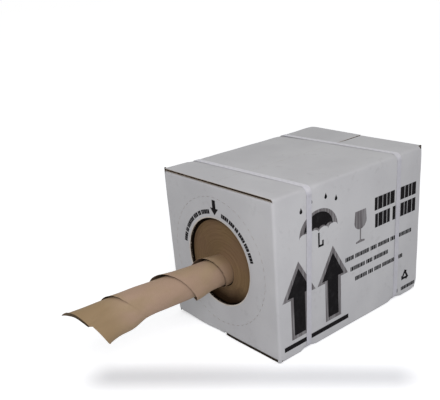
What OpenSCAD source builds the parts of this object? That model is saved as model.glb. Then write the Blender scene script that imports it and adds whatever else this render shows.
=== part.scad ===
// Kraft fill paper, wound without a core and packed in a strapped dispenser carton.
// The paper is drawn out from the middle of the roll, through the round hole in the front.
// X is the carton's width, Y its length with the hole in the front at -Y, Z is up.
// Left and right are as seen from the front.
// The origin is at the middle of the carton's underside.

/* [Carton] */
// Outer width of the carton
box_w = 292; // [270:1:340]
// Outer height of the carton
box_h = 300; // [275:1:340]
// Thickness of the corrugated board
board_t = 4; // [3:0.5:5]
// Outer radius of an ordinary fold
fold_r = 5; // [4:0.5:7]
// Length of each flap beyond its fold
flap_l = 140; // [120:1:142]
// Gap left where the two outer flaps meet
seam_gap = 1.5; // [0.5:0.5:4]
// Sideways place of that gap
seam_x = -3; // [-8:0.5:-2]
// Gap left between a flap and the flap or wall beside it
flap_gap = 0.4; // [0.2:0.1:1]
// Width of the slots between neighbouring flaps
slot_w = 1.5; // [1:0.5:4]
// Width of the glue tab inside the rear left corner
tab_w = 34; // [25:1:45]

/* [Dispensing hole] */
// Diameter of the round hole in the front wall
hole_d = 165; // [130:1:180]
// Height of the hole's centre above the middle of the front wall
hole_rise = 0.6; // [-10:0.1:10]
// Sideways place of the hole's centre
hole_x = -3.6; // [-10:0.1:10]
// Distance from the hole's edge to the ring of perforation cuts round it
perf_margin = 39; // [20:1:42]
// Number of cuts in the ring
perf_count = 54; // [24:1:72]
// Share of the ring that is cut
perf_share = 0.55; // [0.3:0.05:0.7]
// Width of one perforation cut
perf_w = 0.8; // [0.5:0.1:1.5]
// Depth of the perforation cuts
perf_depth = 1.6; // [0.5:0.1:2.5]

/* [Paper roll] */
// Width of the paper, which is the length of the roll
paper_w = 380; // [300:1:380]
// Outer diameter of the roll
roll_d = 252; // [220:1:254]
// Diameter of the bore that the drawn-out paper leaves
bore_d = 66; // [60:1:80]
// Gap between the front wall's inner face and the end of the roll
roll_front_gap = 5; // [2:0.5:8]
// Gap between the other end of the roll and the rear wall
roll_rear_gap = 3; // [1:0.5:10]
// Clearance below the roll, where it rests on the inner flaps
rest_gap = 0.3; // [0.2:0.1:0.5]
// Sideways place of the roll in the carton
roll_x = 3; // [-8:0.5:8]
// Radial width of one band of turns that stands level
band_w = 6.2; // [4:0.1:10]
// How far neighbouring bands of turns stand apart
band_step = 0.7; // [0.2:0.1:1.2]

/* [Drawn-out paper] */
// Growth of the tube's radius for each wrap nearer the roll
wrap_pitch = 1.3; // [1.2:0.05:1.5]
// Thickness given to one wrap of drawn-out paper
wrap_t = 0.8; // [0.5:0.1:0.8]
// Reach of the paper's tip in front of the roll's end
tip_reach = 303; // [200:1:330]
// Least clearance between the tube and the wall of the bore
bore_gap = 0.7; // [0.5:0.1:2]
// How deep the drawn-out paper runs into the wound body that it leaves
web_root = 2.6; // [2:0.1:4]
// Turn from the top of the tube, clockwise from the front, at which the paper's edge begins
tip_turn = -40; // [-90:5:-30]
// Sideways lean of the tube's tip, to the left
tip_lean = 30; // [0:1:45]
// Sag of the tube's tip
tip_sag = 9; // [0:1:20]
// Sideways place of the tube in the bore
tube_x = -1.5; // [-2:0.1:2]
// Height of the tube's centre above the bore's
tube_z = 2; // [-2:0.1:2]
// How far the corner of the free end stands off the tube
corner_flare = 20; // [0:1:30]
// How far each wrap's upper edge stands off the wrap below it
edge_flare = 3; // [0:0.5:5]

/* [Straps] */
// Width of a strap
strap_w = 12; // [9:0.5:16]
// Thickness of a strap
strap_t = 0.7; // [0.5:0.05:1]
// Distance from the carton's front to the front strap's middle
strap_front_y = 72.5; // [50:0.5:110]
// How much further back the front strap lies on the right wall than on the left
strap_front_skew = 9.5; // [0:0.5:16]
// How much further back the front strap lies on the top than on the underside
strap_front_lean = 9.5; // [0:0.5:16]
// Distance from the carton's back to the rear strap's middle
strap_rear_y = 82.5; // [50:0.5:110]
// How much further back the rear strap lies on the right wall than on the left
strap_rear_skew = 19; // [0:0.5:28]
// How much further back the rear strap lies on the top than on the underside
strap_rear_lean = 1; // [0:0.5:16]
// Clearance between a strap and the board
strap_gap = 0.15; // [0.1:0.05:0.3]
// Depth to which a strap presses into the board's flat faces
strap_bite = 0.4; // [0.2:0.1:0.7]
// Outer radius of a fold where a strap has crushed it
crush_r = 12; // [9:0.5:16]
// Length of the welded overlap of a strap
weld_l = 38; // [25:1:60]

/* [Hidden] */

// How far a cut runs clear of the face that it leaves
clear = 1;
round_fn = 96;

// The board's layers at the top and the bottom: outer flaps, then inner flaps
box_l = paper_w + 2 * board_t + roll_front_gap + roll_rear_gap;
inner_top = box_h - board_t - flap_gap;
inner_bottom = board_t + flap_gap;
roll_floor = inner_bottom + board_t;
inner_fold_r = fold_r - board_t;
end_l = box_l / 2 - flap_gap;
hole_z = box_h / 2 + hole_rise;
perf_r = hole_d / 2 + perf_margin;

// The roll
roll_r = roll_d / 2;
bore_r = bore_d / 2;
roll_face = -box_l / 2 + board_t + roll_front_gap;
roll_z = roll_floor + rest_gap + roll_r;

// The straps press deeper into the underside, so that the carton still rests on its board
strap_base_bite = strap_t + 2 * strap_gap;
strap_band = strap_w + 4 * clear;
crush_in_r = crush_r - board_t + strap_bite;
// Each strap's middle, skew and lean
STRAPS = [
  [-box_l / 2 + strap_front_y, strap_front_skew, strap_front_lean],
  [box_l / 2 - strap_rear_y, strap_rear_skew, strap_rear_lean]
];

// The drawn-out tube: generators round it, and stations along it
wrap_steps = 28;
edge_tuck = 1;
// Reach of the paper's edge as a share of the tip's, at each half wrap from the tip
reach_share = [1, 0.82, 0.755, 0.58, 0.435, 0.26, 0.155, 0.055, 0];
wrap_reach = [for (s = reach_share) s * tip_reach, -edge_tuck, -edge_tuck];
last_wrap = (len(wrap_reach) - 1) / 2;
free_wraps = last_wrap - 1;
generators = round(last_wrap * wrap_steps);
flare_stations = [0, 0.25, 0.6, 1];
bend_stations = 5;
bend_start = -60;
stations = len(flare_stations) + bend_stations + 1;
corner_turn = 152;
corner_half = 62;
lift_turn = -35;
lift_half = 75;

// The wraps fill the bore: their radius at the tip, and the growth that takes the last one into the roll
tube_off = norm([tube_x, tube_z]);
tube_r = bore_r - tube_off - bore_gap - free_wraps * wrap_pitch - wrap_t / 2;
merge_growth = bore_r - tube_off + web_root - tube_r - last_wrap * wrap_pitch;

// Rounded rectangle, centred across and standing on the line y = low
module rounded(w, low, high, r) {
  translate([-w / 2 + r, low]) square([w - 2 * r, high - low]);
  translate([-w / 2, low + r]) square([w, high - low - 2 * r]);
  for (x = [-w / 2 + r, w / 2 - r], y = [low + r, high - r])
    translate([x, y]) circle(r = r, $fn = round_fn);
}

// Section of a closed sleeve of board
module sleeve(w, low, high, r_out, r_in, t) {
  difference() {
    rounded(w, low, high, r_out);
    rounded(w - 2 * t, low + t, high - t, r_in);
  }
}

// Extrusion of an XZ section along Y, from y0 to y1
module along_y(y0, y1) {
  translate([0, y1, 0]) rotate([90, 0, 0]) linear_extrude(y1 - y0) children();
}

// Extrusion of a YZ section along X, centred
module along_x(width) {
  rotate([90, 0, 90]) linear_extrude(width, center = true) children();
}

// The four walls between the folds, with rounded upright folds
module walls() {
  translate([0, 0, fold_r])
    linear_extrude(box_h - 2 * fold_r)
      sleeve(box_w, -box_l / 2, box_l / 2, fold_r, inner_fold_r, board_t);
}

// Outer flaps on the long walls, top and bottom, which meet at the middle
module outer_flaps() {
  difference() {
    along_y(-end_l, end_l)
      difference() {
        sleeve(box_w, 0, box_h, fold_r, inner_fold_r, board_t);
        translate([-box_w / 2 - clear, fold_r]) square([box_w + 2 * clear, box_h - 2 * fold_r]);
      }
    translate([seam_x, 0, 0]) cube([seam_gap, box_l + 2 * clear, 3 * box_h], center = true);
  }
}

// Room for the inner flaps' folds, cut from the end walls between the slots
module end_wall_cuts() {
  fold_room = board_t + flap_gap + fold_r;
  for (z = [-clear, box_h - fold_room])
    translate([-box_w / 2 + board_t, -box_l / 2 - clear, z])
      cube([box_w - 2 * board_t, box_l + 2 * clear, fold_room + clear]);
}

// Inner flaps on the end walls, top and bottom, each with its fold
module inner_flaps() {
  flap_end = box_l / 2 - fold_r - flap_l;
  along_x(box_w - 2 * board_t - 2 * slot_w)
    difference() {
      sleeve(box_l, inner_bottom, inner_top, fold_r, inner_fold_r, board_t);
      translate([-box_l / 2 - clear, inner_bottom + fold_r])
        square([box_l + 2 * clear, inner_top - inner_bottom - 2 * fold_r]);
      translate([-flap_end, inner_bottom - clear])
        square([2 * flap_end, inner_top - inner_bottom + 2 * clear]);
    }
}

// Glue tab of the rear wall, bonded to the left wall's inner face
module glue_tab() {
  tab_low = roll_floor + slot_w;
  translate([-box_w / 2 + board_t, box_l / 2 - board_t - tab_w, tab_low])
    cube([board_t, tab_w, box_h - 2 * tab_low]);
}

// Round hole through the front wall
module dispensing_hole() {
  translate([hole_x, -box_l / 2 + board_t / 2, hole_z])
    rotate([90, 0, 0])
      cylinder(d = hole_d, h = board_t + 2 * clear, center = true, $fn = round_fn);
}

// Ring of short cuts in the front wall's face
module perforation() {
  cut_l = 2 * PI * perf_r * perf_share / perf_count;
  translate([hole_x, -box_l / 2, hole_z])
    for (i = [0:perf_count - 1])
      rotate([0, i * 360 / perf_count, 0])
        translate([0, 0, perf_r])
          cube([cut_l, 2 * perf_depth, perf_w], center = true);
}

// The part of an XZ section's extrusion that lies in the slanted plane of a strap, in a band of width w
module band(place, w) {
  intersection() {
    along_y(-box_l / 2, box_l / 2) children();
    translate([0, place[0], box_h / 2])
      rotate([-atan(place[2] / box_h), 0, atan(place[1] / box_w)])
        cube([2 * box_w, w, 2 * box_h], center = true);
  }
}

// What a strap presses away from the board, all round
module strap_groove(place) {
  band(place, strap_band)
    difference() {
      translate([-box_w / 2 - clear, -clear]) square([box_w + 2 * clear, box_h + 2 * clear]);
      rounded(box_w - 2 * strap_bite, strap_base_bite, box_h - strap_bite, crush_r);
    }
}

// Board pushed inward under a strap at the four long folds
module crushed_folds(place) {
  band(place, strap_band)
    intersection() {
      sleeve(box_w - 2 * strap_bite, strap_base_bite, box_h - strap_bite, crush_r, crush_in_r,
             board_t - strap_bite);
      for (x = [-box_w / 2, box_w / 2 - crush_r], z = [0, box_h - crush_r])
        translate([x, z]) square(crush_r);
    }
}

module carton() {
  color([0.84, 0.84, 0.85])
    difference() {
      union() {
        difference() {
          union() {
            walls();
            outer_flaps();
          }
          end_wall_cuts();
        }
        outer_flaps();
        inner_flaps();
        glue_tab();
        for (place = STRAPS) crushed_folds(place);
      }
      for (place = STRAPS) strap_groove(place);
      dispensing_hole();
      perforation();
    }
}

// One strap: a closed loop laid over the crushed folds, with its welded overlap on the left wall
module strap(place) {
  inset = strap_bite - strap_gap;
  low = strap_base_bite - strap_gap;
  r = crush_r + strap_gap;
  half_w = box_w / 2 - inset;
  weld_z = box_h / 2 - weld_l / 2;
  color([0.80, 0.81, 0.86])
    band(place, strap_w) {
      difference() {
        rounded(2 * half_w + 2 * strap_t, low - strap_t, box_h - inset + strap_t, r + strap_t);
        rounded(2 * half_w, low, box_h - inset, r);
      }
      translate([-half_w - 2 * strap_t, weld_z]) square([strap_t * 1.5, weld_l]);
    }
}

// How far a band of turns stands back from the roll's end, at radius r
function band_back(i) = band_step * (0.5 + 0.5 * sin(i * 137));

// The wound body, with its bands of turns
module wound_body() {
  bands = floor((roll_r - bore_r) / band_w);
  step = (roll_r - bore_r) / bands;
  translate([roll_x, roll_face, roll_z])
    rotate([-90, 0, 0])
      difference() {
        cylinder(r = roll_r, h = paper_w, $fn = round_fn);
        translate([0, 0, -clear]) cylinder(r = bore_r, h = paper_w + 2 * clear, $fn = round_fn);
        for (i = [1:bands - 1], end = [0, 1])
          translate([0, 0, end * (paper_w - band_back(i + end)) - (1 - end) * clear])
            difference() {
              h = band_back(i + end) + clear;
              cylinder(r = bore_r + (i + 1) * step, h = h, $fn = round_fn);
              translate([0, 0, -clear])
                cylinder(r = bore_r + i * step, h = h + 2 * clear, $fn = round_fn);
            }
      }
}

// Smooth value between the half-wrap knots of the paper's edge, n wraps from the tip
function knot(i) = wrap_reach[max(0, min(len(wrap_reach) - 1, i))];
function eased(a, b, c, d, u) =
  b + u * (c - a) / 2 + u * u * (a - 2.5 * b + 2 * c - d / 2) + u * u * u * (1.5 * (b - c) + (d - a) / 2);
function reach(n) =
  let (i = min(floor(2 * n), len(wrap_reach) - 2), u = 2 * n - i)
    eased(knot(i - 1), knot(i), knot(i + 1), knot(i + 2), u);

// Room from a wrap's edge back to the edge of the wrap that lies over it
function bare(n) = n + 1 > last_wrap ? 2 * wrap_t : max(2 * wrap_t, reach(n) - reach(n + 1));

// Stand-off of the paper's edge: the free corner, and the upper edges of the later wraps
function hump(a, mid, half) = abs(a - mid) >= half ? 0 : pow(cos(90 * (a - mid) / half), 2);
function stand_off(n) =
  let (a = tip_turn + 360 * n)
    corner_flare * hump(a, corner_turn, corner_half)
      + (n < 0.7 || n > free_wraps - 0.4 ? 0 : edge_flare * hump(a - 360 * round(n), lift_turn, lift_half));

// The tube's centre line bends away gently from inside the bore
function bend(t) = t < bend_start ? 0 : pow((t - bend_start) / (tip_reach - bend_start), 2);
function tube_radius(n) = tube_r + wrap_pitch * n + merge_growth * pow(max(0, n - free_wraps), 2);

// One point of a wrap: n wraps from the tip, t in front of the roll's end, off from mid sheet
function wrap_point(n, t, flare, off) =
  let (a = tip_turn + 360 * n, r = tube_radius(n) + flare + off)
    [roll_x + tube_x - tip_lean * bend(t) + r * sin(a),
     roll_face - t,
     roll_z + tube_z - tip_sag * bend(t) + r * cos(a)];

// Stations of one generator, from the paper's front edge to its rear edge
function generator(n, off) =
  let (front = reach(n), room = bare(n), flat = front - room, rear = front - paper_w + 2 * edge_tuck)
    concat(
      [for (s = flare_stations) wrap_point(n, front - s * room, stand_off(n) * pow(1 - s, 1.3), off)],
      [for (j = [1:bend_stations])
        wrap_point(n, flat + (min(flat, bend_start) - flat) * j / bend_stations - j * edge_tuck, 0, off)],
      [wrap_point(n, rear, 0, off)]);

function quad(a, b, c, d) = [[a, c, b], [a, d, c]];

// The drawn-out wraps: one sheet, wound outward from the tip and pushed on towards the roll
module drawn_wraps() {
  sides = 2;
  outer = [for (i = [0:generators]) each generator(i / wrap_steps, wrap_t / 2)];
  inner = [for (i = [0:generators]) each generator(i / wrap_steps, -wrap_t / 2)];
  half = (generators + 1) * stations;
  faces = concat(
    [for (i = [0:generators - 1], j = [0:stations - 2])
      let (a = i * stations + j, b = a + stations)
        each concat(quad(a, b, b + 1, a + 1), quad(half + a, half + a + 1, half + b + 1, half + b))],
    [for (i = [0:generators - 1])
      let (a = i * stations, b = a + stations, c = a + stations - 1, d = b + stations - 1)
        each concat(quad(a, half + a, half + b, b), quad(c, d, half + d, half + c))],
    [for (j = [0:stations - 2])
      let (a = j, b = generators * stations + j)
        each concat(quad(a, a + 1, half + a + 1, half + a), quad(b, half + b, half + b + 1, b + 1))]);
  polyhedron(concat(outer, inner), faces);
}

module paper_roll() {
  color([0.66, 0.55, 0.43]) {
    wound_body();
    drawn_wraps();
  }
}

module strap_front() { strap(STRAPS[0]); }
module strap_rear() { strap(STRAPS[1]); }

carton();
paper_roll();
strap_front();
strap_rear();
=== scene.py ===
"""Kraft paper roll in its strapped dispenser carton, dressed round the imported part.

The carton is one die-cut sheet of corrugated board. Each panel is laid out flat, folded into place,
given cut edges that show the flutes between the liners, and pressed in where the straps and knocks
have pressed it. The drawn-out paper is one thin sheet, wound outward from its tip.
All lengths are metres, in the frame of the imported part.
"""

import math

import bmesh
import bpy
import numpy as np
from mathutils import Matrix, Vector
from mathutils.geometry import delaunay_2d_cdt


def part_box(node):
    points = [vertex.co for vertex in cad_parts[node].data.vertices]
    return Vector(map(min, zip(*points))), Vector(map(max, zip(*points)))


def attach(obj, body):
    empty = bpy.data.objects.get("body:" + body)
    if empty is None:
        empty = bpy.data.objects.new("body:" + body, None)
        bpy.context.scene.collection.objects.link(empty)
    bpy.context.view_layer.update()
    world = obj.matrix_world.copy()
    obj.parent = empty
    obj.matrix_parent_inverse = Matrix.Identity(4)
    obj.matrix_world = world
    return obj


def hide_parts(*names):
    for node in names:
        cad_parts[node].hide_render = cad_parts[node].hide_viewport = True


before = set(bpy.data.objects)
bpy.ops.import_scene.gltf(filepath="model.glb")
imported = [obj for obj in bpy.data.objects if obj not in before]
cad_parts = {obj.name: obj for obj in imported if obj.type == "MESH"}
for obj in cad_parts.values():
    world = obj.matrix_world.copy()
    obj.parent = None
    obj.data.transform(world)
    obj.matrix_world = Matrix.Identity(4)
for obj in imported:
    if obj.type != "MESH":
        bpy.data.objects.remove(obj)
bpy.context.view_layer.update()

MM = 0.001

# The carton
carton_low, carton_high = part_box("carton")
BOX_W = carton_high.x - carton_low.x
BOX_L = carton_high.y - carton_low.y
BOX_H = carton_high.z
BOARD = 4 * MM
LINER = 0.5 * MM
MEDIUM = 0.25 * MM
FLUTE = 7.8 * MM
FOLD_R = 5 * MM
FLAP_L = 140 * MM
FLAP_GAP = 0.4 * MM
SLOT_W = 1.5 * MM
CORNER_SLOT = 3 * MM
SEAM_X = -3 * MM
TOP_SEAM_GAP = 0.2 * MM
BOTTOM_SEAM_GAP = 1.5 * MM
TAB_W = 34 * MM
GRID = 7 * MM
GROOVE = 5 * MM
FLUTE_INSET = 0.8 * MM
CORNER_ARC = FOLD_R * math.pi / 4
FOLD_ARC = FOLD_R * math.pi / 2

# Material slots of the carton's mesh
WHITE, INNER, CUT, FLUTES_PAINTED_SHADE, LIP_HIGHLIGHT, BLACK, GREY = range(7)

# How high each upright corner is cut, and how low, by the signs of its x and y
CORNER_TOPS = {(-1, -1): 300.4 * MM, (1, -1): 295 * MM, (1, 1): 300.4 * MM, (-1, 1): 299 * MM}
CORNER_FEET = {(-1, -1): 4 * MM, (1, -1): 0.3 * MM, (1, 1): 1.5 * MM, (-1, 1): 2 * MM}

# Knocks at the corners: the signs of x and y and the bottom or top, how far it is pushed in, and how
# wide, both in millimetres
KNOCKS = (
    ((-1, -1, 0), (2.0, 1.5, 1.0), 8),
    ((1, -1, 1), (-1.0, 0.8, -0.8), 8),
    ((-1, -1, 1), (0.3, 0.2, 0), 8),
    ((1, -1, 0), (-1.2, 0.8, 0.3), 8),
    ((1, 1, 0), (-2.5, -2.0, 1.6), 12),
    ((1, 1, 1), (-0.3, -0.3, 0), 8),
    ((-1, 1, 1), (1.6, -1.2, -1.2), 10),
    ((-1, 1, 0), (1.2, -2.0, 1.4), 10),
)

# The dispensing hole, and the ring of perforation cuts round it
HOLE_R = 82.5 * MM
HOLE_X = -3.6 * MM
HOLE_Z = BOX_H / 2 + 0.6 * MM
PERF_R = HOLE_R + 39 * MM
PERF_COUNT = 54
PERF_SHARE = 0.55
PERF_W = 0.45 * MM
PERF_DEPTH = 1.6 * MM
RIM_W = 2 * MM

# The roll
roll_low, roll_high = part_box("paper_roll")
ROLL_R = (roll_high.z - roll_low.z) / 2
ROLL_Z = (roll_high.z + roll_low.z) / 2
ROLL_X = 3 * MM
ROLL_REAR = roll_high.y
PAPER_W = 380 * MM
ROLL_FACE = ROLL_REAR - PAPER_W
BORE_R = 33 * MM
# The innermost turns are drawn forward as a collar, and those behind the front wall have slipped back
COLLAR_R = 29.8 * MM
PUSHED_X = -8 * MM
PUSHED_Z = 146 * MM
PUSHED_R = 79 * MM
PUSHED_BACK = 6 * MM
# Where painted shade darkens the roll's end: downward between two heights, and backward into the slipped-back
# turns between two depths
END_SHADE_START_Z = 130 * MM
END_SHADE_FULL_Z = 88 * MM
RECESS_SHADE_START = ROLL_FACE + 2.2 * MM
RECESS_SHADE_FULL = ROLL_FACE + 4.5 * MM

# The drawn-out paper
TIP_REACH = ROLL_FACE - roll_low.y
PAPER_T = 0.22 * MM
TUBE_R = 24.2 * MM
TUBE_X = -1.5 * MM
TUBE_Z = 2 * MM
WRAP_PITCH = 1.3 * MM
MERGE_GROWTH = 2.4 * MM
TIP_TURN = -40
TIP_LEAN = 30 * MM
TIP_SAG = 9 * MM
BEND_START = -60 * MM
CORNER_FLARE = 20 * MM
EDGE_FLARE = 3 * MM
BULGE_T = 198 * MM
CREASE_T = 269 * MM
CREASE_DEPTH = 2.2 * MM
# Where its colours change along it: olive at the tip, pinker behind it, and painted shade darkening it at the
# root
TIP_COLOUR_END = roll_low.y + 52 * MM
PINK_FULL = roll_low.y + 102 * MM
OLIVE_GONE = roll_low.y + 107 * MM
ROOT_SHADE_START = -BOX_L / 2 - 37 * MM
ROOT_SHADE_FULL = -BOX_L / 2 + 12 * MM
# How far the paper's edge reaches at each half wrap from the tip, first as shares of the tip's reach
REACH_SHARE = (1, 0.82, 0.755, 0.58, 0.435, 0.26, 0.155, 0.055, 0)
KNOTS = np.array([share * TIP_REACH for share in REACH_SHARE] + [-MM, -MM])
LAST_WRAP = (len(KNOTS) - 1) / 2
FREE_WRAPS = LAST_WRAP - 1

# The straps
STRAP_W = 12 * MM
STRAP_T = 0.7 * MM
STRAP_INSET = 0.25 * MM
STRAP_LOW = 0.85 * MM
STRAP_FOLD_R = 12.15 * MM
WELD_L = 38 * MM
# Where each strap's middle lies along the carton, its skew from left to right and its lean
STRAPS = {
    "strap_front": (-BOX_L / 2 + 72.5 * MM, 9.5 * MM, 9.5 * MM),
    "strap_rear": (BOX_L / 2 - 82.5 * MM, 19 * MM, 1 * MM),
}
# A strap's loop: where its inner face lies, and where the runs end and the round corners start
STRAP_SIDE = BOX_W / 2 - STRAP_INSET
STRAP_HIGH = BOX_H - STRAP_INSET
STRAP_MID_Z = (STRAP_LOW + STRAP_HIGH) / 2
STRAP_RUN_X = STRAP_SIDE - STRAP_FOLD_R
STRAP_RUN_Z = (STRAP_HIGH - STRAP_LOW) / 2 - STRAP_FOLD_R

# The floor, how much it is lifted towards white, and the soft band of painted shadow before the pack, which
# is lifted less
FLOOR_HALF = 12.0
FLOOR_LIFT = 0.53
SHADE_DEPTH = 0.40
SHADE_MIDDLE = (0.1345, -0.2587, 0)
SHADE_ALONG = (0.7333, 0.6799, 0)
SHADE_ACROSS = (-0.6799, 0.7333, 0)
SHADE_LENGTH = (0.235, 0.315)
SHADE_WIDTH = (0.0, 0.062)
WORLD_LIGHT = 0.60
LAMP_PLACE = (0.86, -0.70, 0.90)
LAMP_TARGET = (0, 0, BOX_H / 2)
LAMP_SIZE = 0.5
LAMP_POWER = 5.5

# The camera, fitted to the photograph: turned round the carton's middle, in heights of the carton
CAMERA_AZIMUTH = 49.49
CAMERA_ELEVATION = 24.16
CAMERA_ROLL = -3.795
CAMERA_AWAY = 4.3768 * BOX_H
CAMERA_ASIDE = 0.3167 * BOX_H
CAMERA_RISE = 0.1948 * BOX_H
PICTURE_W = 440
PICTURE_H = 400
FOCAL_PIXELS = 669.5
AXIS_PIXEL_X = 248.6
AXIS_PIXEL_Y = 260.8


def smooth(value, low, high):
    """0 below low, 1 above high and a soft step between them."""
    u = np.clip((value - low) / (high - low), 0, 1)
    return u * u * (3 - 2 * u)


def ripple(a, b, wave, turn):
    """Uneven value from -1 to 1 over the plane (a, b), with features about wave across."""
    k = 2 * np.pi / wave
    total = 0
    for step, stretch in enumerate((1, 0.73, 1.31)):
        angle = turn + 2.1 * step
        total = total + np.sin(k * stretch * (a * np.cos(angle) + b * np.sin(angle)) + 3 * angle)
    return total / 3


def grid_faces(rows, columns, wrap_rows=False, wrap_columns=False):
    """Quads of a grid of points, row by row."""
    faces = []
    for i in range(rows if wrap_rows else rows - 1):
        for j in range(columns if wrap_columns else columns - 1):
            below = (i + 1) % rows
            beside = (j + 1) % columns
            near, far = i * columns, below * columns
            faces.append((near + j, far + j, far + beside, near + beside))
    return faces


def flipped(faces):
    """The same faces, seen from their other side."""
    return [tuple(reversed(face)) for face in faces]


def net(a_values, b_values):
    """Every pair of the two rows of values, as two flat lists in the order of grid_faces."""
    a, b = np.meshgrid(a_values, b_values, indexing="ij")
    return a.ravel(), b.ravel()


class Shell:
    """Points, faces, material slots and texture coordinates of one mesh, gathered patch by patch."""

    def __init__(self):
        self.points = []
        self.depths = []
        self.coords = []
        self.faces = []
        self.slots = []
        self.count = 0

    def add(self, points, faces, slots, coords, depths=0.0):
        """Adds a patch. slots is one slot for all its faces, or one for each face."""
        points = np.asarray(points, float).reshape(-1, 3)
        self.points.append(points)
        self.coords.append(np.asarray(coords, float).reshape(-1, 2))
        self.depths.append(np.broadcast_to(np.asarray(depths, float).ravel(), len(points)))
        self.faces += [tuple(i + self.count for i in face) for face in faces]
        self.slots += [slots] * len(faces) if isinstance(slots, int) else list(slots)
        self.count += len(points)

    def build(self, name, materials, settle=None, weld=2e-6, sharp=35):
        """Makes the object. settle moves all the points at once, and points closer than weld become one."""
        points = np.concatenate(self.points)
        if settle:
            points = settle(points, np.concatenate(self.depths))
        mesh = bpy.data.meshes.new(name)
        mesh.from_pydata(points.tolist(), [], self.faces)
        mesh.polygons.foreach_set("material_index", self.slots)
        coords = np.concatenate(self.coords)
        loops = np.empty(len(mesh.loops), np.int32)
        mesh.loops.foreach_get("vertex_index", loops)
        mesh.uv_layers.new(name="sheet").data.foreach_set("uv", coords[loops].ravel())
        for material in materials:
            mesh.materials.append(material)
        work = bmesh.new()
        work.from_mesh(mesh)
        bmesh.ops.remove_doubles(work, verts=work.verts, dist=weld)
        work.to_mesh(mesh)
        work.free()
        mesh.shade_smooth()
        mesh.set_sharp_from_angle(angle=math.radians(sharp))
        made = bpy.data.objects.new(name, mesh)
        bpy.context.scene.collection.objects.link(made)
        return made


class Panel:
    """One wall of the carton with the flaps that hang on it.

    s runs level along the wall, v up the wall from the lower fold: below 0 it is on the bottom flap,
    above the wall's height on the top flap. d is the depth below the outer surface.
    """

    def __init__(self, normal, along, out, half, inset):
        self.normal = np.array(normal, float)
        self.along = np.array(along, float)
        self.out = out
        self.low = inset
        self.high = BOX_H - inset
        self.height = self.high - self.low - 2 * FOLD_R
        self.flat = half - FOLD_R

    def place(self, s, v, d, column=False):
        """Points of the panel. A column is an upright corner, rounded and never folded over."""
        s, v, d = np.broadcast_arrays(np.asarray(s, float), v, d)
        side = s.copy()
        out = np.full(s.shape, self.out) - d
        if column:
            turn = np.maximum(np.abs(s) - self.flat, 0) / FOLD_R
            side = np.where(turn > 0, np.sign(s) * (self.flat + (FOLD_R - d) * np.sin(turn)), s)
            out = self.out - FOLD_R + (FOLD_R - d) * np.cos(turn)
        z = self.low + FOLD_R + v
        for sign, past in () if column else ((1, v - self.height), (-1, -v)):
            turn = np.clip(past / FOLD_R, 0, np.pi / 2)
            straight = np.maximum(past - FOLD_R * np.pi / 2, 0)
            folded = past > 0
            fold_z = self.high - FOLD_R if sign > 0 else self.low + FOLD_R
            out = np.where(folded, self.out - FOLD_R + (FOLD_R - d) * np.cos(turn) - straight, out)
            z = np.where(folded, fold_z + sign * (FOLD_R - d) * np.sin(turn), z)
        up = np.array([0, 0, 1.0])
        return side[..., None] * self.along + out[..., None] * self.normal + z[..., None] * up


def steps(low, high, size):
    """Evenly spaced values from low to high, no more than size apart."""
    return np.linspace(low, high, max(2, int(math.ceil((high - low) / size)) + 1))


def skin(shell, panel, s, v, faces, slots, depth, column=False):
    """One liner of a patch of board. The inner liner faces the other way."""
    points = panel.place(s, v, depth, column)
    if depth > 0:
        faces = flipped(faces)
    shell.add(points, faces, slots, np.stack([s, v], -1), depth)


def rim(shell, panel, s, v, inward, column=False, fluted=True, torn=False):
    """The cut edge along the run (s, v): the liners' edges, the groove between and the flutes in it."""
    run = np.stack([s, v], -1)
    inward = np.broadcast_to(np.asarray(inward, float), run.shape)
    deep = GROOVE if fluted else 0.04 * GROOVE
    offsets = np.array([0, 0, deep, deep, 0, 0])
    depths = np.array([0, LINER, LINER, BOARD - LINER, BOARD - LINER, BOARD])
    places = run[:, None, :] + inward[:, None, :] * offsets[None, :, None]
    depth_grid = np.broadcast_to(depths, places.shape[:2])
    points = panel.place(places[..., 0], places[..., 1], depth_grid, column)
    # The groove's flutes, and the liner edges of the torn hole and of the upright corners, take near-black
    # painted shade
    inside = FLUTES_PAINTED_SHADE if fluted or column else CUT
    liner = FLUTES_PAINTED_SHADE if torn or column else CUT
    slots = [liner, inside, inside, inside, liner] * (len(run) - 1)
    shell.add(points, grid_faces(len(run), len(offsets)), slots, places, depth_grid)
    if not fluted:
        return
    inset = np.linspace(FLUTE_INSET, GROOVE, 6)
    offsets = np.concatenate([inset, inset[::-1]])
    side = np.repeat([-MEDIUM / 2, MEDIUM / 2], len(inset))
    places = run[:, None, :] + inward[:, None, :] * offsets[None, :, None]
    middle = BOARD / 2 + (BOARD / 2 - LINER - MEDIUM / 2) * np.sin(2 * np.pi * places[..., 0] / FLUTE)
    depth_grid = middle + side[None, :]
    points = panel.place(places[..., 0], places[..., 1], depth_grid, column)
    shell.add(points, grid_faces(len(run), len(offsets), wrap_columns=True), FLUTES_PAINTED_SHADE, places, depth_grid)


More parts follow.
